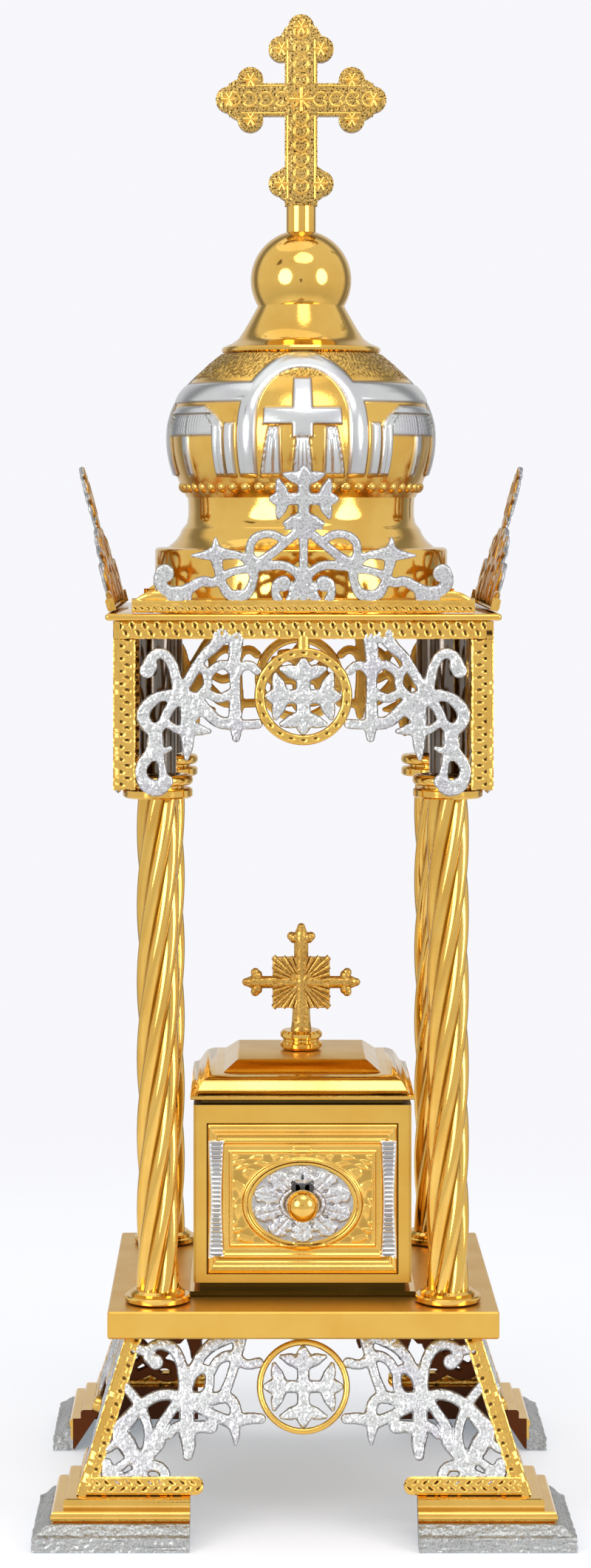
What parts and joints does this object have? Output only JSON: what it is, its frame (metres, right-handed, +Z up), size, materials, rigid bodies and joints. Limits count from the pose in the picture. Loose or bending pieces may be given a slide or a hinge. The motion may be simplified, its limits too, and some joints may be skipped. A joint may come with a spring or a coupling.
{
  "type": "altar tabernacle",
  "caption": "Altar tabernacle: a small ark with a drawer and lift-off lid under an openwork canopy on twisted columns, with a domed tower and a budded cross.",
  "frame": {"origin": "on the ground, under the centre of the square of four feet", "axes": "+Z up, the drawer's front faces -Y, +X to the right seen from the front"},
  "size_m": [0.2, 0.2, 0.5758],
  "materials": {
    "feet": "silver plated, hammered and chased",
    "base_panels": "gold plated borders, silver plated scrolls",
    "base_plate": "gold plated, satin edge and polished top",
    "columns": "gold plated, polished",
    "posts": "polished",
    "canopy_panels": "gold plated borders, silver plated scrolls",
    "roof_plate": "gold plated, polished",
    "crests": "silver plated casting on a gold plated band",
    "drum": "gold plated, polished",
    "dome": "gold plated with silver plated relief",
    "lantern": "gold plated, mirror polished",
    "top_cross": "gold plated, chased",
    "ark_base": "gold plated, polished",
    "ark_body": "gold plated, polished",
    "ark_lid": "gold plated, polished",
    "lid_cross": "gold plated, carved",
    "drawer": "gold plated, embossed field between silver plated strips",
    "drawer_knob": "gold plated, mirror polished",
    "drawer_rosette": "silver plated, embossed leaves"
  },
  "bodies": {
    "tabernacle": {"foot_front_left": "feet", "foot_front_right": "feet", "foot_back_right": "feet", "foot_back_left": "feet", "base_panel_front": "base_panels", "base_panel_right": "base_panels", "base_panel_back": "base_panels", "base_panel_left": "base_panels", "base_plate": "base_plate", "column_front_left": "columns", "column_front_right": "columns", "column_back_right": "columns", "column_back_left": "columns", "post_front_left": "posts", "post_front_right": "posts", "post_back_right": "posts", "post_back_left": "posts", "canopy_panel_front": "canopy_panels", "canopy_panel_right": "canopy_panels", "canopy_panel_back": "canopy_panels", "canopy_panel_left": "canopy_panels", "roof_plate": "roof_plate", "crest_front": "crests", "crest_right": "crests", "crest_back": "crests", "crest_left": "crests", "drum": "drum", "dome": "dome", "lantern": "lantern", "top_cross": "top_cross", "ark_base": "ark_base", "ark_body": "ark_body", "ark_lid": "ark_lid", "lid_cross": "lid_cross"},
    "drawer": {"drawer": "drawer", "drawer_knob": "drawer_knob", "drawer_rosette": "drawer_rosette"}
  },
  "joints": [
    {"name": "drawer_slide", "type": "slide", "parent": "tabernacle", "child": "drawer", "axis": [0, -1, 0], "range_m": [0, 0.055]}
  ]
}
